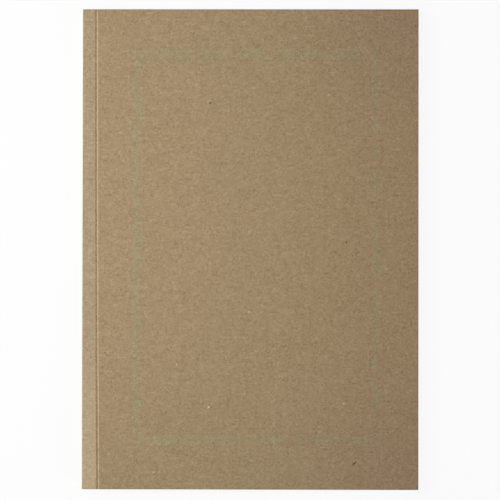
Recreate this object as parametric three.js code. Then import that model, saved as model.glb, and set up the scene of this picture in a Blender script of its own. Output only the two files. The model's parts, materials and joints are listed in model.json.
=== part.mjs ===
// A softcover notebook that lies closed on its back cover: leaves of paper glued at the spine into one kraft
// board, which is scored beside the spine so that its two panels fold open.
//
// Frame: millimetres, +Z up, the origin under the middle of the closed notebook. X runs from the spine to the
// fore edge and Y from the tail to the head. Inside the notebook group x counts from the spine's outer face.
//
// The board and the spine glue each bend where the notebook opens. The board is made as a panel and a spine
// wrap on each side, which meet at the hinge scores and at mid-spine, and the glue as two halves.

import * as THREE from 'three';

// Trimmed size: the board and the leaves are cut together, flush at the head, the tail and the fore edge
const trimWidth = 147;
const trimHeight = 210;

// Paper block
const leafThickness = 0.1;
const leafSpacing = 0.01;
const leavesPerHalf = 24;

// Cover board
const boardThickness = 0.4;
const foldSteps = 6;

// Hinge scores, pressed into the outside of the board beside the spine
const hingeFromSpine = 6.4;
const scoreWidth = 1.3;
const scoreDepth = 0.15;

// Adhesive: a film on the spine, and a strip that holds each hinge strip of the board to its outer leaf
const spineGlueThickness = 0.4;
const sideGlueThickness = 0.06;

// Clearances between pieces that lie on each other, and where the board and the glue are parted
const seatGap = 0.01;
const partingGap = 0.02;

// Levels of the stack, from the table up
const leafCount = 2 * leavesPerHalf;
const leafPitch = leafThickness + leafSpacing;
const blockBottom = boardThickness + seatGap + sideGlueThickness + seatGap;
const blockTop = blockBottom + leafCount * leafPitch - leafSpacing;
const totalThickness = blockTop + blockBottom;
const midLevel = totalThickness / 2;

// Places along x, from the spine's outer face
const glueStart = boardThickness + seatGap;
const leafStart = glueStart + spineGlueThickness + seatGap;

// Finishes
const kraft = { color: 0x98836a, roughness: 0.9, metalness: 0 };
const paper = { color: 0xf3eee1, roughness: 0.85, metalness: 0 };
const glue = { color: 0xe6dcc0, roughness: 0.5, metalness: 0 };

const notebook = new THREE.Group();
notebook.position.x = -trimWidth / 2;

function addPiece(name, geometry, finish, position = [0, 0, 0]) {
  const piece = new THREE.Mesh(geometry, new THREE.MeshStandardMaterial(finish));
  piece.name = name;
  piece.position.set(...position);
  notebook.add(piece);
  return piece;
}

// A box given by its limits along x and z, as long as the notebook is high
function addSlab(name, finish, [x0, x1], [z0, z1]) {
  const geometry = new THREE.BoxGeometry(x1 - x0, trimHeight, z1 - z0);
  return addPiece(name, geometry, finish, [(x0 + x1) / 2, 0, (z0 + z1) / 2]);
}

// A section in x and z, drawn out from the head to the tail
function addSection(name, finish, shape) {
  const geometry = new THREE.ExtrudeGeometry(shape, {
    depth: trimHeight,
    bevelEnabled: false,
    curveSegments: foldSteps,
  });
  const piece = addPiece(name, geometry, finish, [0, trimHeight / 2, 0]);
  piece.rotation.x = Math.PI / 2;
  return piece;
}

// Sections are drawn for the back cover. The front cover is its mirror image across mid-thickness.
function coverSection(points, isFront) {
  const level = (z) => (isFront ? totalThickness - z : z);
  return new THREE.Shape(points.map(([x, z]) => new THREE.Vector2(x, level(z))));
}

// From the hinge score to the fore edge, with its half of the score's groove
function panelSection(isFront) {
  const innerEdge = hingeFromSpine + partingGap / 2;
  return coverSection(
    [
      [hingeFromSpine + scoreWidth / 2, 0],
      [trimWidth, 0],
      [trimWidth, boardThickness],
      [innerEdge, boardThickness],
      [innerEdge, scoreDepth],
    ],
    isFront,
  );
}

// The hinge strip, the fold round the block's corner and half of the spine. The board bends over the sharp
// corner of the block, so the outer radius of the fold is the board's thickness.
function wrapSection(isFront) {
  const outerEdge = hingeFromSpine - partingGap / 2;
  const spineEnd = midLevel - partingGap / 2;
  const fold = new THREE.EllipseCurve(
    boardThickness,
    boardThickness,
    boardThickness,
    boardThickness,
    Math.PI,
    1.5 * Math.PI,
  );
  return coverSection(
    [
      ...fold.getPoints(foldSteps).map((point) => [point.x, point.y]),
      [hingeFromSpine - scoreWidth / 2, 0],
      [outerEdge, scoreDepth],
      [outerEdge, boardThickness],
      [boardThickness, boardThickness],
      [boardThickness, spineEnd],
      [0, spineEnd],
    ],
    isFront,
  );
}

function addCover() {
  addSection('back_cover_panel', kraft, panelSection(false));
  addSection('back_spine_wrap', kraft, wrapSection(false));
  addSection('front_spine_wrap', kraft, wrapSection(true));
  addSection('front_cover_panel', kraft, panelSection(true));
}

function addGlue() {
  const onSpine = [glueStart, glueStart + spineGlueThickness];
  addSlab('back_spine_glue', glue, onSpine, [blockBottom, midLevel - partingGap / 2]);
  addSlab('front_spine_glue', glue, onSpine, [midLevel + partingGap / 2, blockTop]);

  const beside = [leafStart, hingeFromSpine - scoreWidth / 2];
  const backStrip = boardThickness + seatGap;
  const frontStrip = blockTop + seatGap;
  addSlab('back_side_glue', glue, beside, [backStrip, backStrip + sideGlueThickness]);
  addSlab('front_side_glue', glue, beside, [frontStrip, frontStrip + sideGlueThickness]);
}

// The leaves are numbered from the front cover, so the last one lies on the back cover
function addLeaves() {
  for (let number = 1; number <= leafCount; number += 1) {
    const bottom = blockTop - leafThickness - (number - 1) * leafPitch;
    const name = `leaf_${String(number).padStart(2, '0')}`;
    addSlab(name, paper, [leafStart, trimWidth], [bottom, bottom + leafThickness]);
  }
}

addCover();
addGlue();
addLeaves();

export default notebook;
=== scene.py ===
# A softcover notebook, closed, seen square on from the front: 48 leaves glued at the spine into one scored
# kraft board. Lengths are millimetres, unless a comment says metres.

import json
import math

import bpy
import numpy as np
from mathutils import Matrix, Vector


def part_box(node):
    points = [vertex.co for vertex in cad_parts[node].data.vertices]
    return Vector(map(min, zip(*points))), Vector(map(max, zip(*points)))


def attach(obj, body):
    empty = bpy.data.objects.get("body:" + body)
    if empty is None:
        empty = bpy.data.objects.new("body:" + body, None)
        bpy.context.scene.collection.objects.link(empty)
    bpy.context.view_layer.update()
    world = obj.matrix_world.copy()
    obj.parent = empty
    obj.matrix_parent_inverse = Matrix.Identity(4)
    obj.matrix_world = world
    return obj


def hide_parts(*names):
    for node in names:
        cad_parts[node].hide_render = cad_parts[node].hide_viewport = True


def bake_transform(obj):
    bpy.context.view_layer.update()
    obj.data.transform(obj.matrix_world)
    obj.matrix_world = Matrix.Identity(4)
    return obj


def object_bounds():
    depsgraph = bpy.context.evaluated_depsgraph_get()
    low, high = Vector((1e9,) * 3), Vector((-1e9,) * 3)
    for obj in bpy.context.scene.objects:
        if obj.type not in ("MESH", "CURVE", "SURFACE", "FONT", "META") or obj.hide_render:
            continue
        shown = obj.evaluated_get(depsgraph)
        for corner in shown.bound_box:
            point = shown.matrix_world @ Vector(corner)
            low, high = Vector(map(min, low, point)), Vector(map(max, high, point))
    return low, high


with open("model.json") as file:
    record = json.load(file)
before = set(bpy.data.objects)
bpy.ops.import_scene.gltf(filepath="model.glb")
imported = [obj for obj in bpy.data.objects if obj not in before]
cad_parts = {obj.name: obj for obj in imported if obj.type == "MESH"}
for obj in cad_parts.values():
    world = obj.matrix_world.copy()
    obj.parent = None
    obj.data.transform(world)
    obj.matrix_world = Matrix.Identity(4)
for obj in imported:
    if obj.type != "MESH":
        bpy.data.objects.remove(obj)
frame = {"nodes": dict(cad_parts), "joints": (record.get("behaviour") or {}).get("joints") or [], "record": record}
cad_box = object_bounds()

MM = 0.001


def box_mm(node):
    """The lowest and the highest corner of a CAD node."""
    return [np.array(corner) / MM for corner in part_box(node)]


# Sizes that the frame gives. A place across the notebook is counted from the spine's outer face, as u
SPINE_X = cad_box[0].x / MM
WIDTH = (cad_box[1].x - cad_box[0].x) / MM
HALF_HEIGHT = cad_box[1].y / MM
THICKNESS = cad_box[1].z / MM
MIDDLE = THICKNESS / 2
BOARD = np.ptp([corner[2] for corner in box_mm("front_cover_panel")])
LEAF_START = box_mm("leaf_01")[0][0] - SPINE_X
COVER_STACK = THICKNESS - box_mm("leaf_01")[1][2]
LEAVES = sum(name.startswith("leaf_") for name in frame["nodes"])
PIVOTS = {joint["name"]: np.array(joint["pos_m"]) / MM for joint in frame["joints"]}
HINGE = PIVOTS["front_cover_fold"][0] - SPINE_X

# The glued spine is pinched, so the stack thins from the crease to the spine by this share
NIP = 0.11

# The pressed crease: a slow wall towards the spine, a quick one towards the panel, a slight lip beyond it,
# and a ridge on the board's inner face. It runs a little askew, nearer to the spine at the head, and bows
CREASE_DEPTH = 0.18
CREASE_SPINE_WALL = 0.85
CREASE_PANEL_WALL = 0.42
CREASE_LIP = 0.02
LIP_DISTANCE = 0.7
LIP_SPREAD = 0.3
CREASE_RIDGE = 0.03
RIDGE_SPREAD = 0.6
CREASE_OFFSET = 0.06
CREASE_DRIFT = 0.5
CREASE_BOW = 0.15

# The board's fold at the block's corner, how far its spine stays inside the CAD face, and how far from
# mid-spine the spine's own piece ends
FOLD_RADIUS = 0.45
FOLD_STEPS = 10
SPINE_INSET = 0.03
SPINE_SEAM = 1.3

# How much the closed notebook gapes at the fore edge, where that starts and how late it grows. Slow waves
# along the fore edge, of a given turn and phase, take off up to the share GAPE_WAVES
GAPE = 0.42
GAPE_START = 26
GAPE_POWER = 1.6
GAPE_WAVES = 0.12
GAPE_TURN = 3
GAPE_PHASE = 0.6

# How far the board waves, where that starts and how soon it is full, and the lengths that set the waves
# across a panel, along it, and the slant of the second ones
WARP = 0.04
WARP_START = 12
WARP_RISE = 25
WARP_ACROSS = 27
WARP_ALONG = 41
WARP_SLANT = 70

# How far a cut edge is rounded
EDGE_ROUND = 0.05
LEAF_EDGE_ROUND = 0.012

# The attribute that holds each point's place on its flat sheet, and the least angle of a sharp edge, in
# degrees
SHEET = "sheet_mm"
SHARP_ANGLE = 40


def smooth(value):
    """A smooth step from 0, at zero, to 1, at one."""
    value = np.clip(value, 0, 1)
    return value * value * (3 - 2 * value)


def bell(value, spread):
    """1 at zero, and less on both sides of it."""
    return np.exp(-((value / spread) ** 2))


def steps(start, stop, length):
    """Evenly spaced places from start to stop, about one length apart."""
    count = max(2, round(abs(stop - start) / length) + 1)
    return np.linspace(start, stop, count)


# Shape of the closed notebook


def half_thickness(u):
    """How far the outer face lies from mid-thickness, without the gape and the waves."""
    return MIDDLE * (1 - NIP * np.clip(1 - u / HINGE, 0, 1))


def crease_at(y):
    """The place u of the crease's deepest line."""
    along = y / HALF_HEIGHT
    return HINGE + CREASE_OFFSET - CREASE_DRIFT * along + CREASE_BOW * along**2


def crease_groove(v):
    """Depth of the groove at a distance v from its deepest line, less the lip on its far side."""
    spine_wall = smooth(1 + v / CREASE_SPINE_WALL)
    panel_wall = smooth(1 - v / CREASE_PANEL_WALL)
    lip = CREASE_LIP * bell(v - LIP_DISTANCE, LIP_SPREAD)
    return CREASE_DEPTH * np.where(v < 0, spine_wall, panel_wall) - lip


def gape(u, y):
    """How far the front cover stands off its closed level, which is most along the fore edge."""
    out = np.clip((u - GAPE_START) / (WIDTH - GAPE_START), 0, 1)
    waves = 1 - GAPE_WAVES + GAPE_WAVES * np.cos(GAPE_TURN * y / HALF_HEIGHT + GAPE_PHASE) ** 2
    return GAPE * out**GAPE_POWER * waves


def warp(u, y, phase):
    """Slow waves of a board panel, from none to WARP."""
    away = smooth((u - WARP_START) / WARP_RISE)
    across = np.sin(u / WARP_ACROSS + phase)
    along = np.sin(y / WARP_ALONG + u / WARP_SLANT + 2 * phase)
    return WARP * away * (0.5 + 0.25 * across + 0.25 * along)


# Meshes


def join_lines(a, b):
    """Quads between two lines of point numbers."""
    return np.stack([a[:-1], a[1:], b[1:], b[:-1]], axis=1)


def slab_faces(rows, columns):
    """Quads of a closed sheet: two grids of points, one under the other, and walls between their rims."""
    top = np.arange(rows * columns).reshape(rows, columns)
    under = top + rows * columns
    faces = []
    for j in range(rows - 1):
        faces += [join_lines(top[j], top[j + 1]), join_lines(under[j + 1], under[j])]
    faces += [join_lines(under[0], top[0]), join_lines(top[-1], under[-1])]
    faces += [join_lines(top[:, 0], under[:, 0]), join_lines(under[:, -1], top[:, -1])]
    return np.concatenate(faces)


def signed_volume(points, faces):
    """Six times the volume, above zero where the faces point out."""
    a, b, c, d = (points[faces[:, i]] for i in range(4))
    return np.einsum("ij,ij->", a, np.cross(b, c)) + np.einsum("ij,ij->", a, np.cross(c, d))


def slab(name, top, under, top_sheet, under_sheet, finish):
    """A closed sheet from grids of points (rows, columns, 3). The sheet grids hold each point's place on the
    flat sheet that the piece was made of, which the finishes read, so that they don't swim when it bends."""
    rows, columns = top.shape[:2]
    points = np.concatenate([top.reshape(-1, 3), under.reshape(-1, 3)])
    places = np.concatenate([top_sheet.reshape(-1, 3), under_sheet.reshape(-1, 3)])
    faces = slab_faces(rows, columns)
    if signed_volume(points, faces) < 0:
        faces = faces[:, ::-1]
    mesh = bpy.data.meshes.new(name)
    mesh.from_pydata((points * MM).tolist(), [], faces.tolist())
    mesh.polygons.foreach_set("use_smooth", np.ones(len(faces), bool))
    mesh.set_sharp_from_angle(angle=math.radians(SHARP_ANGLE))
    sheet = mesh.attributes.new(SHEET, "FLOAT_VECTOR", "POINT")
    sheet.data.foreach_set("vector", places.astype(np.float32).ravel())
    mesh.materials.append(finish)
    piece = bpy.data.objects.new(name, mesh)
    bpy.context.scene.collection.objects.link(piece)
    return piece


def grid(x, y, z):
    """A grid of points from x, y and z, which are grids, lines or numbers."""
    return np.stack(np.broadcast_arrays(x, y, z), axis=-1)


def at(u, y, z):
    """Points of the closed notebook at the places u, y and z."""
    return grid(u + SPINE_X, y, z)


# The board

# How far apart its points lie: along the height, along the spine, and where it bends or is creased
BOARD_ROW_STEP = 3.5
SPINE_STEP = 0.35
BEND_STEP = 0.1
CREASE_STEP = 0.09

# The columns of points from the fore edge to the fold: one by the rim, those of the panel, PANEL_STEP apart
# from a distance inside the fore edge to a place u and then closer, those beside the crease, between two
# distances from the hinge, and those on the hinge strip
RIM_COLUMN = 0.6
PANEL_START = 3
PANEL_END = 13
PANEL_STEP = 4.5
PANEL_COLUMNS = [11.5, 10.2, 9.2, 8.4]
CREASE_SPAN = (1.5, -1.2)
STRIP_COLUMNS = [4.6, 3.8, 3, 2.2, 1.4, 0.9]

# Columns within the first distance of the hinge follow the crease, and over the second they let go of it
FOLLOW_SPAN = 1.6
FOLLOW_FADE = 3

# The fold's circle touches the spine's outer face and the sloping hinge strip
NIP_SLOPE = MIDDLE * NIP / HINGE
FOLD_SWEEP = math.pi / 2 - math.atan(NIP_SLOPE)
FOLD_U = SPINE_INSET + FOLD_RADIUS
FOLD_END_U = FOLD_U - FOLD_RADIUS * math.cos(FOLD_SWEEP)
FOLD_LEVEL = half_thickness(FOLD_END_U) - FOLD_RADIUS * math.sin(FOLD_SWEEP)

# Along the flat board, a place q is counted from mid-spine, positive on the front
FOLD_END_Q = FOLD_LEVEL + FOLD_RADIUS * FOLD_SWEEP
PANEL_Q = FOLD_END_Q - FOLD_END_U
FACE_MIDDLE = PANEL_Q + WIDTH / 2
HALF_BOARD = PANEL_Q + WIDTH


def board_rows():
    """Places along the board's height, with the two rounded ends."""
    inner = steps(-HALF_HEIGHT + EDGE_ROUND, HALF_HEIGHT - EDGE_ROUND, BOARD_ROW_STEP)
    return np.array([-HALF_HEIGHT, *inner, HALF_HEIGHT])[:, None]


def panel_columns(rows):
    """Places u across a panel and its hinge strip, for each row. Those at the crease follow it."""
    edge = [WIDTH, WIDTH - EDGE_ROUND, WIDTH - RIM_COLUMN]
    panel = steps(WIDTH - PANEL_START, PANEL_END, PANEL_STEP)
    crease = steps(HINGE + CREASE_SPAN[0], HINGE + CREASE_SPAN[1], CREASE_STEP)
    u = np.array([*edge, *panel, *PANEL_COLUMNS, *crease, *STRIP_COLUMNS, FOLD_END_U])
    follow = smooth(1 - (np.abs(u - HINGE) - FOLLOW_SPAN) / FOLLOW_FADE)
    return u + (crease_at(rows) - HINGE) * follow


def rounded(outer, inner, fore_edge):
    """Draws the two faces together by EDGE_ROUND at the head, at the tail and, where it has one, at the
    fore edge."""
    toward = np.zeros(outer.shape[:2])
    toward[[0, -1], :] = EDGE_ROUND
    if fore_edge:
        toward[:, 0] = EDGE_ROUND
    toward = (toward / BOARD)[..., None]
    return outer + (inner - outer) * toward, inner + (outer - inner) * toward


def board_slab(name, outer, inner, q, rows, finish):
    """A piece of the board whose points lie at q along the flat board."""
    places = grid(q, rows, 0.0)
    return slab(name, outer, inner, places, places + [0, 0, BOARD], finish)


def half_cover(name, side, lift, finish):
    """A panel, its hinge strip, the fold and the spine as far as its seam. side is 1 in front and -1 behind,
    and lift(u, y) is how far the panel stands off its closed level."""
    rows = board_rows()
    u = panel_columns(rows)
    v = u - crease_at(rows)
    level = half_thickness(u) + lift(u, rows)
    ridge = CREASE_RIDGE * bell(v, RIDGE_SPREAD)
    outer = [at(u, rows, level - crease_groove(v))]
    inner = [at(u, rows, level - BOARD - ridge)]

    turn = np.linspace(FOLD_SWEEP, 0, FOLD_STEPS + 1)[None, 1:]
    for radius, skin in ((FOLD_RADIUS, outer), (FOLD_RADIUS - BOARD, inner)):
        skin.append(at(FOLD_U - radius * np.cos(turn), rows, FOLD_LEVEL + radius * np.sin(turn)))

    spine = steps(FOLD_LEVEL, SPINE_SEAM, SPINE_STEP)[None, 1:]
    outer.append(at(SPINE_INSET, rows, spine))
    inner.append(at(SPINE_INSET + BOARD, rows, spine))

    bent = np.concatenate([FOLD_LEVEL + FOLD_RADIUS * turn, spine], axis=1)
    q = side * np.concatenate([u + PANEL_Q, np.repeat(bent, len(rows), axis=0)], axis=1)
    outer, inner = (np.concatenate(skin, axis=1) for skin in (outer, inner))
    outer, inner = rounded(outer, inner, fore_edge=True)
    for skin in (outer, inner):
        skin[..., 2] = MIDDLE + side * skin[..., 2]
    return board_slab(name, outer, inner, q, rows, finish)


def mid_spine(name, finish):
    """The middle of the board's spine, which bends as the notebook opens."""
    rows = board_rows()
    rise = steps(-SPINE_SEAM, SPINE_SEAM, BEND_STEP)[None, :]
    outer, inner = (at(u, rows, MIDDLE + rise) for u in (SPINE_INSET, SPINE_INSET + BOARD))
    outer, inner = rounded(outer, inner, fore_edge=False)
    return board_slab(name, outer, inner, rise, rows, finish)


def add_cover(finish):
    front = half_cover("front_board", 1, lambda u, y: gape(u, y) + warp(u, y, phase=0.4), finish)
    back = half_cover("back_board", -1, lambda u, y: -warp(u, y, phase=1.9), finish)
    spine = mid_spine("spine_board", finish)
    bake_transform(front)
    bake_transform(back)
    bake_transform(spine)
    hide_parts("front_cover_panel", "front_spine_wrap")
    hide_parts("back_cover_panel", "back_spine_wrap")
    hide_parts("front_spine_wrap", "back_spine_wrap")


# Glue

# How far the glue stays inside the head and the tail, and how far apart its rows of points lie
GLUE_RECESS = 0.4
GLUE_ROW_STEP = 4

# The spine glue lies between the board and the leaves, with a little room on both sides. It is as high as
# the block is at SPINE_GLUE_U, and its points lie closest within SPINE_GLUE_FINE of mid-spine, where it is
# thinner, because it stretches there as the notebook opens
BOARD_ROOM = 0.01
LEAF_ROOM = 0.06
SPINE_GLUE_U = 0.5
SPINE_GLUE_FINE = 0.5
GLUE_NOTCH = 0.28
NOTCH_SPREAD = 0.16

# Low beads in its face by the leaves: their height, and how they follow each other along and across it
GLUE_BEADS = 0.02
BEADS_ALONG = 2.3
BEADS_ACROSS = 3.1
BEADS_SLANT = 5

# The side glue's wavy edge: how far it lies inside the CAD strip's, and its waves' heights and lengths
SIDE_GLUE_INSET = 0.2
SIDE_GLUE_WAVES = [(0.08, 3.7), (0.05, 1.3)]
SIDE_GLUE_COLUMNS = 8


def glue_rows():
    return steps(-HALF_HEIGHT + GLUE_RECESS, HALF_HEIGHT - GLUE_RECESS, GLUE_ROW_STEP)[:, None]


def add_spine_glue(finish):
    rows = glue_rows()
    top = half_thickness(SPINE_GLUE_U) - COVER_STACK
    side = SPINE_GLUE_FINE + BEND_STEP
    fine = steps(-SPINE_GLUE_FINE, SPINE_GLUE_FINE, BEND_STEP)
    rise = np.array([*steps(-top, -side, SPINE_STEP), *fine, *steps(side, top, SPINE_STEP)])[None, :]
    near = SPINE_INSET + BOARD + BOARD_ROOM
    beads = GLUE_BEADS * np.sin(rows / BEADS_ALONG) * np.sin(rise * BEADS_ACROSS + rows / BEADS_SLANT)
    far = LEAF_START - LEAF_ROOM - GLUE_BEADS + beads - GLUE_NOTCH * bell(rise, NOTCH_SPREAD)
    outer, inner = (at(u, rows, MIDDLE + rise) for u in (near, far))
    places = [grid(depth, rows, rise) for depth in (near, far)]
    glue = slab("spine_glue", outer, inner, places[0], places[1], finish)
    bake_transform(glue)
    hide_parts("front_spine_glue", "back_spine_glue")


def add_side_glue(name, side, body, finish):
    """The strip that holds a hinge strip of the board to its outer leaf."""
    low, high = box_mm(name)
    rows = glue_rows()
    edge = high[0] - SPINE_X
    for height, length in SIDE_GLUE_WAVES:
        edge = edge + height * np.sin(rows / length)
    across = np.linspace(0, 1, SIDE_GLUE_COLUMNS)[None, :]
    u = LEAF_START + (edge - SIDE_GLUE_INSET - LEAF_START) * across
    gap = (COVER_STACK - BOARD - (high[2] - low[2])) / 2
    top = half_thickness(u) - BOARD - gap
    under = half_thickness(u) - COVER_STACK + gap
    outer, inner = (at(u, rows, MIDDLE + side * level) for level in (top, under))
    places = [grid(u, rows, side * level) for level in (top, under)]
    glue = slab(name.replace("_side_glue", "_glue_strip"), outer, inner, places[0], places[1], finish)
    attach(glue, body)
    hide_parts(name)


# Leaves

# Columns of points: close together where a leaf bends, LEAF_STEP apart from LEAF_REST to the last span, and
# one by the rim
LEAF_COLUMNS = [1.3, 2, 3, 4.5, 6.4, 9, 12, 16, 20, 25, 30]
LEAF_REST = 38
LEAF_STEP = 9
LEAF_LAST_SPAN = 4
LEAF_RIM_COLUMN = 1
LEAF_ROW_STEP = 10

# Seed and shape of the random spread of air between the leaves, and how far a leaf's cut edges may lie
# inside the block's: the fore edge, and the tail and the head
LEAF_SEED = 48
AIR_SHAPE = 0.7
FORE_EDGE_CUT = (0.01, 0.09)
END_CUT = (0.01, 0.08)

# Each leaf's own height in the paper's noise is this far from the next one's
LEAF_SPACING = 3.0


def leaf_columns(start, stop):
    near = [start, start + LEAF_EDGE_ROUND, *LEAF_COLUMNS]
    far = steps(LEAF_REST, stop - LEAF_LAST_SPAN, LEAF_STEP)
    return np.array([*near, *far, stop - LEAF_RIM_COLUMN, stop - LEAF_EDGE_ROUND, stop])


def leaf_bodies(number):
    """The body that carries a leaf's glued edge, and the one that its free part turns with."""
    name = f"leaf_{number:02d}"
    body = next(b for b, members in frame["record"]["behaviour"]["bodies"].items() if name in members)
    if body.startswith("fan_"):
        return ("front_block" if number <= LEAVES // 2 else "root"), body
    return body, body


def lift_shares(chance):
    """Each leaf's share of the gape, from the hindmost leaf to the first: the air between them is uneven."""
    gaps = chance.gamma(AIR_SHAPE, size=LEAVES + 1)
    return (np.cumsum(gaps) / gaps.sum())[:-1]


def add_leaf(number, share, chance, finish):
    """A leaf whose free part is lifted by its share of the gape. Its cut edges differ slightly."""
    node = f"leaf_{number:02d}"
    low, high = box_mm(node)
    stop = WIDTH - chance.uniform(*FORE_EDGE_CUT)
    tail, head = chance.uniform(*END_CUT, 2)
    bottom, top = -HALF_HEIGHT + tail, HALF_HEIGHT - head
    middle = steps(bottom + LEAF_EDGE_ROUND, top - LEAF_EDGE_ROUND, LEAF_ROW_STEP)
    rows = np.array([bottom, *middle, top])[:, None]
    u = leaf_columns(LEAF_START, stop)[None, :]
    pinch = (half_thickness(u) - COVER_STACK) / (half_thickness(WIDTH) - COVER_STACK)
    lift = share * gape(u, rows)
    inset = np.zeros(lift.shape)
    inset[[0, -1], :] = LEAF_EDGE_ROUND
    inset[:, [0, -1]] = LEAF_EDGE_ROUND
    upper, lower = (MIDDLE + (corner[2] - MIDDLE) * pinch + lift for corner in (high, low))
    skins = [at(u, rows, upper - inset), at(u, rows, lower + inset)]
    flat = grid(u, rows, LEAF_SPACING * number)
    leaf = slab(f"page_{number:02d}", *skins, flat, flat + [0, 0, 1], finish)
    near, far = leaf_bodies(number)
    if near == far:
        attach(leaf, near)
    else:
        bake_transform(leaf)
    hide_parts(node)


def add_leaves(finish):
    chance = np.random.default_rng(LEAF_SEED)
    shares = lift_shares(chance)
    for number in range(1, LEAVES + 1):
        add_leaf(number, shares[LEAVES - number], chance, finish)


# Finishes

# A fibre's twist and the softness of its edge, the flattening of a fleck's cell, the random number from
# which a cell has a fleck, and the part of a fleck that has its full tone
FIBRE_TWIST = 0.6
FIBRE_SOFT = 0.08
FLECK_CELL = 0.7
FLECK_CHANCE = (0.6, 0.62)
FLECK_CORE = 0.4

# How deep a single mark goes, and where its tone starts and is full, as shares of its half lengths
MARK_DEPTH = 0.2
MARK_RIM = (1.25, 0.5)

# The sockets of a Mix node for the colour below, for the one laid over it, and for their mix
MIX_UNDER = 6
MIX_OVER = 7
MIX_RESULT = 2


def add_node(tree, kind, inputs=(), **settings):
    """A node with its settings, and its first inputs or its named ones."""
    node = tree.nodes.new(kind)
    for key, value in settings.items():
        setattr(node, key, value)
    pairs = inputs.items() if isinstance(inputs, dict) else enumerate(inputs)
    for key, value in pairs:
        if isinstance(value, bpy.types.NodeSocket):
            tree.links.new(value, node.inputs[key])
        else:
            node.inputs[key].default_value = value
    return node


class Finish:
    """A material whose nodes read a point's place on its flat sheet, in millimetres."""

    def __init__(self, name, roughness, gloss):
        self.material = bpy.data.materials.new(name)
        self.material.use_nodes = True
        self.tree = self.material.node_tree
        self.shader = self.tree.nodes["Principled BSDF"]
        self.shader.inputs["Specular IOR Level"].default_value = gloss
        self.shader.inputs["Roughness"].default_value = roughness
        self.place = self.add("ShaderNodeAttribute", attribute_name=SHEET).outputs["Vector"]
        self.x, self.y, self.z = self.add("ShaderNodeSeparateXYZ", [self.place]).outputs

    def add(self, kind, inputs=(), **settings):
        return add_node(self.tree, kind, inputs, **settings)

    def math(self, operation, *values):
        return self.add("ShaderNodeMath", values, operation=operation).outputs[0]

    def total(self, first, *others):
        for other in others:
            first = self.math("ADD", first, other)
        return first

    def product(self, first, *others):
        for other in others:
            first = self.math("MULTIPLY", first, other)
        return first

    def ramp(self, value, start, end, low=0.0, high=1.0):
        """A smooth step from low, at start, to high, at end."""
        values = {"Value": value, "From Min": start, "From Max": end, "To Min": low, "To Max": high}
        return self.add("ShaderNodeMapRange", values, interpolation_type="SMOOTHSTEP").outputs[0]

    def within(self, value, start, end, soft):
        """1 between start and end, and 0 outside."""
        rise = self.ramp(value, start - soft, start + soft)
        return self.product(rise, self.ramp(value, end - soft, end + soft, 1, 0))

    def laid(self, turn, scale, centre=(0, 0, 0)):
        """The place, counted from a centre along turned axes, in units of scale."""
        settings = {"Vector": self.place, "Location": centre, "Rotation": (0, 0, math.radians(turn))}
        settings["Scale"] = scale
        return self.add("ShaderNodeMapping", settings, vector_type="TEXTURE").outputs[0]

    def noise(self, size, swing, detail=1.0, twist=0.0, place=None):
        """Noise with features of about the size given, which stays within half a swing of zero."""
        values = {"Vector": place or self.place, "Scale": 1 / size, "Detail": detail}
        values["Distortion"] = twist
        cloud = self.add("ShaderNodeTexNoise", values).outputs[0]
        return self.math("MULTIPLY_ADD", cloud, swing, -swing / 2)

    def patches(self, size, start, end, low=0.0, high=1.0, detail=1.0):
        """Soft patches: low where noise of a size is at start or beyond it, and high where it is at end."""
        return self.ramp(self.noise(size, 1.0, detail), start, end, low, high)

    def fibres(self, turn, length, width, tone, rarity):
        """Thin fibres at about one angle. The nearer rarity is to 1, the fewer there are."""
        values = {"Vector": self.laid(turn, (length, width, 1)), "Scale": 1, "Detail": 1}
        values["Distortion"] = FIBRE_TWIST
        cloud = self.add("ShaderNodeTexNoise", values).outputs[0]
        return self.ramp(cloud, rarity, rarity + FIBRE_SOFT, 0, tone)

    def flecks(self, cell, size, tone, offset):
        """Small round specks scattered through cells of a given size, in about two of five cells."""
        place = self.laid(offset, (cell, cell * FLECK_CELL, cell), (offset, offset, 0))
        spots = self.add("ShaderNodeTexVoronoi", {"Vector": place, "Scale": 1}).outputs
        chance = self.add("ShaderNodeSeparateColor", [spots["Color"]]).outputs[0]
        chosen = self.ramp(chance, *FLECK_CHANCE)
        spot = self.ramp(spots["Distance"], size / cell, size / cell * FLECK_CORE, 0, tone)
        return self.product(spot, chosen)

    def mark(self, x, y, length, width, turn, tone):
        """One lengthened speck on the outer face of the sheet."""
        place = self.laid(turn, (length / 2, width / 2, MARK_DEPTH), (x, y, 0))
        reach = self.add("ShaderNodeVectorMath", [place], operation="LENGTH").outputs["Value"]
        return self.ramp(reach, *MARK_RIM, 0, tone)

    def colour(self, colour, tone, *tints):
        """The base colour times a tone. A tint is a strength, a socket, and the colour it leans to."""
        paint = self.add("ShaderNodeVectorMath", {0: colour, "Scale": tone}, operation="SCALE").outputs[0]
        for strength, lean in tints:
            layers = {0: strength, MIX_UNDER: paint, MIX_OVER: (*lean, 1)}
            mix = self.add("ShaderNodeMix", layers, data_type="RGBA", blend_type="MULTIPLY")
            paint = mix.outputs[MIX_RESULT]
        self.tree.links.new(paint, self.shader.inputs["Base Color"])

    def relief(self, height, depth):
        """Bumps of depth millimetres for a height of 1."""
        bump = self.add("ShaderNodeBump", {"Height": height, "Distance": depth * MM, "Strength": 1})
        self.tree.links.new(bump.outputs[0], self.shader.inputs["Normal"])


# Kraft board

# The board's base colour, the depth of its relief, and how strong the fibres are in it
KRAFT = (0.38, 0.2925, 0.185)
KRAFT_RELIEF = 0.08
FIBRE_RELIEF = 0.6

# Noise: the size of its features, its swing of tone, its detail and its twist
KRAFT_CLOUDS = [(16, 0.08, 2, 0), (4.5, 0.17, 1, 0), (2.0, 0.27, 1, 0.5)]
KRAFT_GRAIN = [(1.0, 0.48, 1, 0.5), (0.45, 0.48, 1, 0)]

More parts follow.
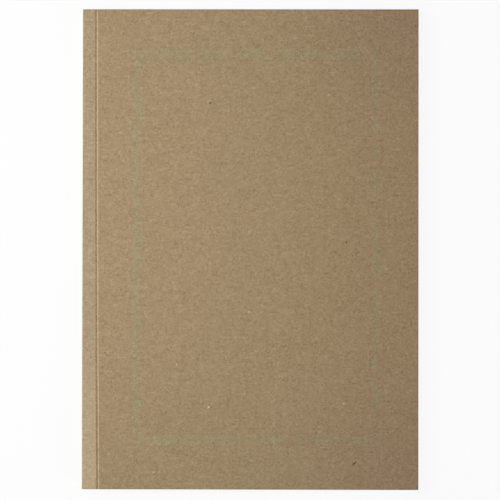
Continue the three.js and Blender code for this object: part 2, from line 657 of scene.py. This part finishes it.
# The grain is stronger in some patches than in others. Patches, here and below, are the size of their noise,
# its values where they start and end, their strengths there and, where it isn't 1, the noise's detail
GRAIN_PATCHES = (5.5, -0.16, 0.16, 0.65, 1.35)

# Fibres: angle, length, width, tone and rarity
KRAFT_FIBRES = [
    (18, 3.2, 0.3, 0.18, 0.64),
    (-52, 2.6, 0.28, 0.18, 0.65),
    (81, 3.0, 0.3, -0.17, 0.64),
    (-24, 2.4, 0.26, -0.18, 0.65),
]

# Scattered flecks: cell, size, tone and offset
KRAFT_FLECKS = [(15, 0.6, -0.3, 31), (19, 0.55, 0.35, 7), (5, 0.5, 0.2, 53)]

# Flecks that show in the photograph, from the middle of the front face: x, y, length, width, angle and tone
KRAFT_MARKS = [
    (45.5, -93.5, 2.2, 0.7, 35, -0.7),
    (-17.5, 64, 1.3, 0.8, 20, -0.6),
    (42, 3, 1.2, 0.8, 75, -0.6),
    (-63.5, -45.5, 1.3, 0.6, 10, -0.4),
    (40, 100, 1.4, 0.6, 0, -0.4),
    (-27.5, -90, 1.4, 0.6, 60, -0.4),
    (-18, -69, 0.9, 0.8, 0, 1.1),
    (41, -67.5, 0.9, 0.7, 0, 0.8),
    (-32, -50.5, 0.9, 0.7, 45, 0.75),
    (-42, -97.5, 0.9, 0.7, 0, 0.65),
    (-0.5, -27.5, 0.8, 0.8, 0, 0.6),
    (34, 67.5, 0.8, 0.7, 80, 0.6),
    (34, 88, 0.8, 0.7, 0, 0.55),
    (59.5, -8.5, 0.8, 0.7, 0, 0.55),
    (-57, 51, 0.8, 0.7, 0, 0.5),
    (1, -92.5, 0.8, 0.7, 0, 0.5),
    (-8.5, -103.5, 1.0, 0.6, 0, 0.5),
    (69, -62.5, 0.9, 0.7, 0, 0.5),
]

# Tones beside the crease, by the distance from its deepest line: painted shade in the pressed groove, a
# painted highlight on its lip, and paler on the hinge strip, partly as worn board and partly as painted sheen:
# by the first of STRIP_TONES at the tail, and by the second from the height STRIP_EVEN_FROM to the head
PRESSED = (-0.8, 0.0)
PRESSED_SOFT = 0.12
PRESSED_SHADE_TONE = -0.12
LIP = (0.1, 0.5)
LIP_SOFT = 0.08
LIP_HIGHLIGHT_TONE = 0.53
STRIP_END = (-1.0, -0.6)
STRIP_TONES = (0.36, 0.08)
STRIP_EVEN_FROM = -25

# Tones of the trimmed rim of a face, by the distance from the edge, and of the cut through the board, which
# shows its plies
TRIM = (0.1, 0.4)
TRIM_TONE = -0.35
CUT_INSET = 0.03
CUT_SOFT = 0.02
CUT_TONE = -0.08
PLY_TONE = 0.3
PLY_SIZE = (2.5, 2.5, 0.07)

# The outer face is where the depth in the board is under the first of these, and not over the second
OUTER_FACE = (0.05, 0.1)

# A faint dashed double line round the front, plain and tone on tone: its limits from the middle of the
# face, half the distance between the two lines, half the width of a line, where the band between them fades,
# inside the lines, and the pitch and the span of a dash
FRAME_X = (-49.5, 55.2)
FRAME_Y = (-83.4, 85.4)
FRAME_HALF_BAND = 2.7
FRAME_HALF_LINE = 0.3
FRAME_SOFT = 0.2
BAND_FADE = (1.1, 0.1)
DASH_PITCH = 3.1
DASH_SPAN = (0.2, 0.75)
DASH_SOFT = 0.08

# The frame is a little stronger towards the spine and the tail: the sums of x and y between which it fades,
# and its strengths there. Its band is patchy, and the warm patches are stronger towards the fore edge
FRAME_FADE = (5, 130)
FRAME_STRENGTHS = (0.7, 0.6)
GREEN_PATCHES = (6.5, -0.1, 0.08, 0.35, 1)
WARM_PATCHES = (7.5, 0.03, 0.13)
WARM_SHARES = (0.1, 0.8)

# What the base colour is multiplied by in the frame's band, in its warm patches and on its lines
GREEN_TINT = (0.92, 1.095, 1.08)
WARM_TINT = (1.05, 0.86, 0.9)
LINE_TINT = (0.965, 0.88, 0.9)

# The same in slow clouds, in specks, the more so the darker they are, on the hinge strip, as worn board and
# painted sheen, on the crease's lip, as a painted highlight, and towards the fore edge and its corners, from
# the height CORNER_FROM, as painted shade where the light falls off
CLOUD_PATCHES = (9, -0.25, 0.25, 0.25, 0.75, 2)
CLOUD_TINT = (1, 0.985, 0.96)
DARK_SPECKS = (0.45, -0.45)
DARK_TINT = (1, 0.905, 0.7)
STRIP_SHEEN_TINT = (1, 1.055, 1.14)
LIP_HIGHLIGHT_TINT = (1, 1.045, 1.18)
FORE_EDGE_SHADE_TINT = (0.965, 0.935, 0.935)
CORNER_SHADE_TINT = (0.965, 0.94, 0.985)
CORNER_FROM = 40


def kraft_grain(kraft):
    clouds = kraft.total(*(kraft.noise(*row) for row in KRAFT_CLOUDS))
    grain = kraft.total(*(kraft.noise(*row) for row in KRAFT_GRAIN))
    return kraft.math("MULTIPLY_ADD", grain, kraft.patches(*GRAIN_PATCHES), clouds)


def kraft_flecks(kraft):
    scattered = (kraft.flecks(*row) for row in KRAFT_FLECKS)
    marks = (kraft.mark(FACE_MIDDLE + x, y, *mark) for x, y, *mark in KRAFT_MARKS)
    return kraft.total(*scattered, *marks)


def crease_tones(kraft, reach):
    """The tone beside the creases, with painted shade in the groove, a painted highlight on the lip and a hinge
    strip paler as worn board and painted sheen, and how strongly a point lies on a hinge strip and on a crease's
    lip.
    """
    crease = kraft.math("SUBTRACT", reach, PANEL_Q + HINGE + CREASE_OFFSET)
    along = kraft.math("DIVIDE", kraft.y, HALF_HEIGHT)
    slant = kraft.math("MULTIPLY_ADD", along, -CREASE_BOW, CREASE_DRIFT)
    crease = kraft.math("MULTIPLY_ADD", along, slant, crease)
    # The groove gets painted shade and the lip a painted highlight
    pressed = kraft.within(crease, *PRESSED, PRESSED_SOFT)
    lip_highlight = kraft.within(crease, *LIP, LIP_SOFT)
    # The hinge strip is paler, partly as worn board and partly as painted sheen
    strip_wear_and_sheen = kraft.ramp(crease, *STRIP_END, 1, 0)
    worn_and_sheen = kraft.ramp(kraft.y, -HALF_HEIGHT, STRIP_EVEN_FROM, *STRIP_TONES)
    shares = [(pressed, PRESSED_SHADE_TONE), (lip_highlight, LIP_HIGHLIGHT_TONE), (strip_wear_and_sheen, worn_and_sheen)]
    return kraft.total(*(kraft.product(*share) for share in shares)), strip_wear_and_sheen, lip_highlight


def cut_tones(kraft, reach, to_end):
    """The tone of the trimmed rims and of the cut through the board, and that of the plies alone."""
    to_edge = kraft.math("MINIMUM", to_end, kraft.math("SUBTRACT", HALF_BOARD, reach))
    trim = kraft.ramp(to_edge, *TRIM, TRIM_TONE, 0)
    on_cut = kraft.within(kraft.z, CUT_INSET, BOARD - CUT_INSET, CUT_SOFT)
    plies = kraft.product(kraft.noise(1, PLY_TONE, place=kraft.laid(0, PLY_SIZE)), on_cut)
    return kraft.total(trim, kraft.product(on_cut, CUT_TONE), plies), plies


def frame_line(kraft):
    """How strongly a point lies on the two dashed lines, and between them."""
    x = kraft.math("SUBTRACT", kraft.x, FACE_MIDDLE + sum(FRAME_X) / 2)
    y = kraft.math("SUBTRACT", kraft.y, sum(FRAME_Y) / 2)
    beyond_x = kraft.math("SUBTRACT", kraft.math("ABSOLUTE", x), (FRAME_X[1] - FRAME_X[0]) / 2)
    beyond_y = kraft.math("SUBTRACT", kraft.math("ABSOLUTE", y), (FRAME_Y[1] - FRAME_Y[0]) / 2)
    off = kraft.math("ABSOLUTE", kraft.math("MAXIMUM", beyond_x, beyond_y))
    along = kraft.math("FRACT", kraft.math("DIVIDE", kraft.total(kraft.x, kraft.y), DASH_PITCH))
    dash = kraft.within(along, *DASH_SPAN, DASH_SOFT)
    start, end = FRAME_HALF_BAND - FRAME_HALF_LINE, FRAME_HALF_BAND + FRAME_HALF_LINE
    line = kraft.within(off, start, end, FRAME_SOFT)
    start, end = (FRAME_HALF_BAND - inside for inside in BAND_FADE)
    band = kraft.ramp(off, start, end, 1, 0)
    outer_face = kraft.ramp(kraft.z, *OUTER_FACE, 1, 0)
    return kraft.product(line, dash, outer_face), kraft.product(band, outer_face)


def frame_tints(kraft):
    line, band = frame_line(kraft)
    strength = kraft.ramp(kraft.total(kraft.x, kraft.y), *FRAME_FADE, *FRAME_STRENGTHS)
    band = kraft.product(band, strength)
    warm_share = kraft.ramp(kraft.x, FACE_MIDDLE + FRAME_X[0], HALF_BOARD, *WARM_SHARES)
    return [
        (kraft.product(band, kraft.patches(*GREEN_PATCHES)), GREEN_TINT),
        (kraft.product(band, kraft.patches(*WARM_PATCHES), warm_share), WARM_TINT),
        (kraft.product(line, strength), LINE_TINT),
    ]


def kraft_finish():
    """Kraft board: grain, fibres and flecks, the pressed creases with painted shade and a painted highlight, a
    hinge strip with painted sheen, the cut edges, painted shade towards the fore edge and a faint frame.
    """
    kraft = Finish("kraft_board", roughness=0.88, gloss=0.25)
    reach = kraft.math("ABSOLUTE", kraft.x)
    to_end = kraft.math("SUBTRACT", HALF_HEIGHT, kraft.math("ABSOLUTE", kraft.y))

    grain = kraft_grain(kraft)
    fibres = kraft.total(*(kraft.fibres(*row) for row in KRAFT_FIBRES))
    specks = kraft.total(grain, fibres, kraft_flecks(kraft))
    crease, strip_wear_and_sheen, lip_highlight = crease_tones(kraft, reach)
    cut, plies = cut_tones(kraft, reach, to_end)
    tone = kraft.total(specks, crease, cut, 1.0)

    # Painted shade: the board darkens towards the fore edge and its corners, as the light falls off there
    fore_edge_shade = kraft.ramp(reach, FACE_MIDDLE, HALF_BOARD)
    corner_shade = kraft.product(fore_edge_shade, kraft.ramp(to_end, HALF_HEIGHT - CORNER_FROM, 0))
    tints = [
        *frame_tints(kraft),
        (kraft.patches(*CLOUD_PATCHES), CLOUD_TINT),
        (kraft.ramp(specks, *DARK_SPECKS), DARK_TINT),
        # the hinge strip: worn board and painted sheen
        (strip_wear_and_sheen, STRIP_SHEEN_TINT),
        # painted highlight on the crease's lip
        (lip_highlight, LIP_HIGHLIGHT_TINT),
        # painted shade towards the fore edge and its corners
        (fore_edge_shade, FORE_EDGE_SHADE_TINT),
        (corner_shade, CORNER_SHADE_TINT),
    ]
    kraft.colour(KRAFT, tone, *tints)
    kraft.relief(kraft.total(grain, kraft.product(fibres, FIBRE_RELIEF), plies), KRAFT_RELIEF)
    return kraft.material


# Paper and glue

# The paper's base colour, and the depth of its relief
PAPER = (0.75, 0.715, 0.625)
PAPER_RELIEF = 0.03

# Noise, as in the board: the size of its features, its swing of tone, its detail and its twist. Each leaf
# has slow clouds of its own
PAPER_FIBRE = [(22, 0.04, 1, 0), (1.6, 0.05, 2, 0.4), (0.4, 0.05, 1, 0)]
LEAF_TONE = 0.06
LEAF_CLOUDS = (60, 25, 3.1)

# A leaf's cut edge, from the upper face at 0 to the lower one at 1, is paler than the faces and streaked:
# the tone and the lengths of each kind of streak
CUT_EDGE = (0.04, 0.96)
CUT_EDGE_SOFT = 0.02
CUT_EDGE_TONE = 0.22
CUT_EDGE_TINT = (1, 0.985, 0.94)
EDGE_STREAKS = [(0.3, (200, 12, 2.4)), (0.45, (400, 70, 11))]

# The ruling: its pitch, where a line's ink starts to fade and ends, its margins at the head and the tail,
# and how far past its first line it reaches
RULE_PITCH = 7
RULE_HALF_WIDTH = (0.07, 0.13)
RULE_TOP = 20
RULE_BOTTOM = 12
RULE_REACH = 1
RULE_SOFT = 0.1
RULE_STRENGTH = 0.4
RULE_TINT = (0.45, 0.52, 0.6)

# The same for the glue
GLUE = (0.6, 0.53, 0.38)
GLUE_RELIEF = 0.1


def ruling(paper, edge):
    """How strongly a point lies on a ruled line, which no cut edge has."""
    row = paper.math("SUBTRACT", HALF_HEIGHT - RULE_TOP, paper.y)
    phase = paper.math("ABSOLUTE", paper.math("WRAP", row, RULE_PITCH / 2, -RULE_PITCH / 2))
    line = paper.ramp(phase, *RULE_HALF_WIDTH, 1, 0)
    top = HALF_HEIGHT - RULE_TOP + RULE_REACH
    ruled = paper.within(paper.y, RULE_BOTTOM - HALF_HEIGHT, top, RULE_SOFT)
    faces = paper.math("MULTIPLY_ADD", edge, -RULE_STRENGTH, RULE_STRENGTH)
    return paper.product(line, ruled, faces)


def paper_finish():
    """Off-white writing paper with faint ruled lines, and with cut edges that differ from leaf to leaf."""
    paper = Finish("paper", roughness=0.85, gloss=0.2)
    fibre = paper.total(*(paper.noise(*row) for row in PAPER_FIBRE))
    leaf = paper.noise(1, LEAF_TONE, place=paper.laid(0, LEAF_CLOUDS))
    streaks = paper.total(*(paper.noise(1, tone, place=paper.laid(0, size)) for tone, size in EDGE_STREAKS))
    edge = paper.within(paper.math("WRAP", paper.z, LEAF_SPACING, 0), *CUT_EDGE, CUT_EDGE_SOFT)
    cut = paper.product(edge, paper.total(streaks, CUT_EDGE_TONE))
    tone = paper.total(fibre, leaf, cut, 1.0)
    paper.colour(PAPER, tone, (ruling(paper, edge), RULE_TINT), (edge, CUT_EDGE_TINT))
    paper.relief(fibre, PAPER_RELIEF)
    return paper.material


def glue_finish():
    """Set hot-melt glue: cream, slightly shiny, with small bubbles."""
    glue = Finish("binding_glue", roughness=0.42, gloss=0.45)
    cloud = glue.total(glue.noise(size=5, swing=0.1, detail=2), glue.noise(size=0.8, swing=0.12))
    bubbles = glue.flecks(cell=1.4, size=0.3, tone=-0.12, offset=3)
    glue.colour(GLUE, glue.total(cloud, bubbles, 1.0))
    glue.relief(glue.total(cloud, bubbles), GLUE_RELIEF)
    return glue.material


# Floor, light and camera

WHITE = (1, 1, 1, 1)

# The floor's level, half its width and its colour. It lies low enough for the folded-back cover of an open
# notebook, which is a board's thickness under the closed one
FLOOR_LEVEL = -0.56
FLOOR_HALF = 3000
FLOOR_COLOUR = (0.93, 0.93, 0.93, 1)

# How much of the floor's brightness, as seen, is its own: the first share by the notebook, where its shadow
# lies, and the second far away, where the floor runs into the backdrop. It grows between the distances
# FLOOR_FADE, in metres
FLOOR_OWN_LIGHT = (0.9, 1)
FLOOR_FADE = (0.2, 0.9)

# Each lamp's size and place, in metres, and its share of the light on the middle of the front face. The sky
# gives the rest
LAMPS = {
    "key_light": (0.3, (-0.26, 0.02, 0.34), 0.38),
    "top_light": (0.3, (-0.11, 0.04, 0.27), 0.34),
    "tail_fill": (0.6, (1.1, -1.1, 0.37), 0.1),
    "head_fill": (0.4, (-0.75, 1.0, 0.22), 0.045),
}
SKY_SHARE = 0.135


def plain_to_camera(tree, lit, shown, output, share=None):
    """The camera sees shown, or a share of it over lit, and so do gloss and glass. All else sees lit."""
    path = tree.nodes.new("ShaderNodeLightPath").outputs
    seen = path["Is Camera Ray"]
    for other in ("Is Glossy Ray", "Is Transmission Ray"):
        seen = add_node(tree, "ShaderNodeMath", [seen, path[other]], operation="MAXIMUM").outputs[0]
    if share:
        seen = add_node(tree, "ShaderNodeMath", [seen, share], operation="MULTIPLY").outputs[0]
    mix = add_node(tree, "ShaderNodeMixShader", [seen, lit.outputs[0], shown.outputs[0]])
    tree.links.new(mix.outputs[0], tree.nodes[output].inputs["Surface"])


def floor_finish():
    material = bpy.data.materials.new("floor")
    material.use_nodes = True
    tree = material.node_tree
    lit = tree.nodes["Principled BSDF"]
    lit.inputs["Base Color"].default_value = FLOOR_COLOUR
    lit.inputs["Roughness"].default_value = 1
    lit.inputs["Specular IOR Level"].default_value = 0
    shown = add_node(tree, "ShaderNodeEmission", {"Color": WHITE})
    place = tree.nodes.new("ShaderNodeNewGeometry").outputs["Position"]
    away = add_node(tree, "ShaderNodeVectorMath", [place], operation="LENGTH").outputs["Value"]
    fade = [away, *FLOOR_FADE, *FLOOR_OWN_LIGHT]
    share = add_node(tree, "ShaderNodeMapRange", fade, interpolation_type="SMOOTHSTEP").outputs[0]
    plain_to_camera(tree, lit, shown, "Material Output", share)
    return material


def add_floor():
    mesh = bpy.data.meshes.new("floor")
    corners = [(-1, -1), (1, -1), (1, 1), (-1, 1)]
    points = [(x * FLOOR_HALF * MM, y * FLOOR_HALF * MM, FLOOR_LEVEL * MM) for x, y in corners]
    mesh.from_pydata(points, [], [[0, 1, 2, 3]])
    mesh.materials.append(floor_finish())
    floor = bpy.data.objects.new("floor", mesh)
    bpy.context.scene.collection.objects.link(floor)


def add_soft_box(name, size, place, share):
    """A square lamp aimed at the origin, where a level white face gives it back at the brightness share."""
    lamp = bpy.data.lights.new(name, "AREA")
    lamp.size = size
    place = Vector(place)
    lamp.energy = share * math.pi**2 * place.length_squared / place.normalized().z
    holder = bpy.data.objects.new(name, lamp)
    holder.location = place
    holder.rotation_euler = place.to_track_quat("Z", "Y").to_euler()
    bpy.context.scene.collection.objects.link(holder)


def add_light():
    """A soft box beside the spine, one overhead, two weaker ones at opposite corners, and an even sky."""
    for name, (size, place, share) in LAMPS.items():
        add_soft_box(name, size, place, share)
    world = bpy.data.worlds.new("studio")
    world.use_nodes = True
    bpy.context.scene.world = world
    tree = world.node_tree
    lit = tree.nodes["Background"]
    lit.inputs["Color"].default_value = WHITE
    lit.inputs["Strength"].default_value = SKY_SHARE
    shown = add_node(tree, "ShaderNodeBackground", {"Color": WHITE, "Strength": 1})
    plain_to_camera(tree, lit, shown, "World Output")


# The photograph looks straight down on the front face, almost square on: the point that it is aimed at,
# from the middle of the face, how far the camera leans and rolls, in degrees, and how far it sees, in metres
AIM = (-0.095, -0.397)
CAMERA_DISTANCE = 1200
LEAN_TO_TAIL = 1.011
LEAN_TO_FORE_EDGE = 0.582
ROLL = 0.0914
LENS = 197.6
VIEW_END = 20


def add_camera():
    camera = bpy.data.objects.new("camera", bpy.data.cameras.new("camera"))
    camera.data.lens = LENS
    camera.data.clip_end = VIEW_END
    lean = (math.sin(math.radians(LEAN_TO_FORE_EDGE)), -math.sin(math.radians(LEAN_TO_TAIL)), 1)
    back = Vector(lean).normalized()
    right = Vector((0, 1, 0)).cross(back).normalized()
    turned = Matrix((right, back.cross(right), back)).transposed()
    turned = turned @ Matrix.Rotation(math.radians(ROLL), 3, "Z")
    target = Vector((*AIM, THICKNESS)) * MM
    camera.matrix_world = Matrix.LocRotScale(target + back * CAMERA_DISTANCE * MM, turned, None)
    bpy.context.scene.collection.objects.link(camera)
    bpy.context.scene.camera = camera


add_camera()
add_light()
add_floor()
add_cover(kraft_finish())
glue = glue_finish()
add_spine_glue(glue)
add_side_glue("front_side_glue", 1, "front_block", glue)
add_side_glue("back_side_glue", -1, "root", glue)
add_leaves(paper_finish())
bpy.context.scene.view_settings.view_transform = "Standard"
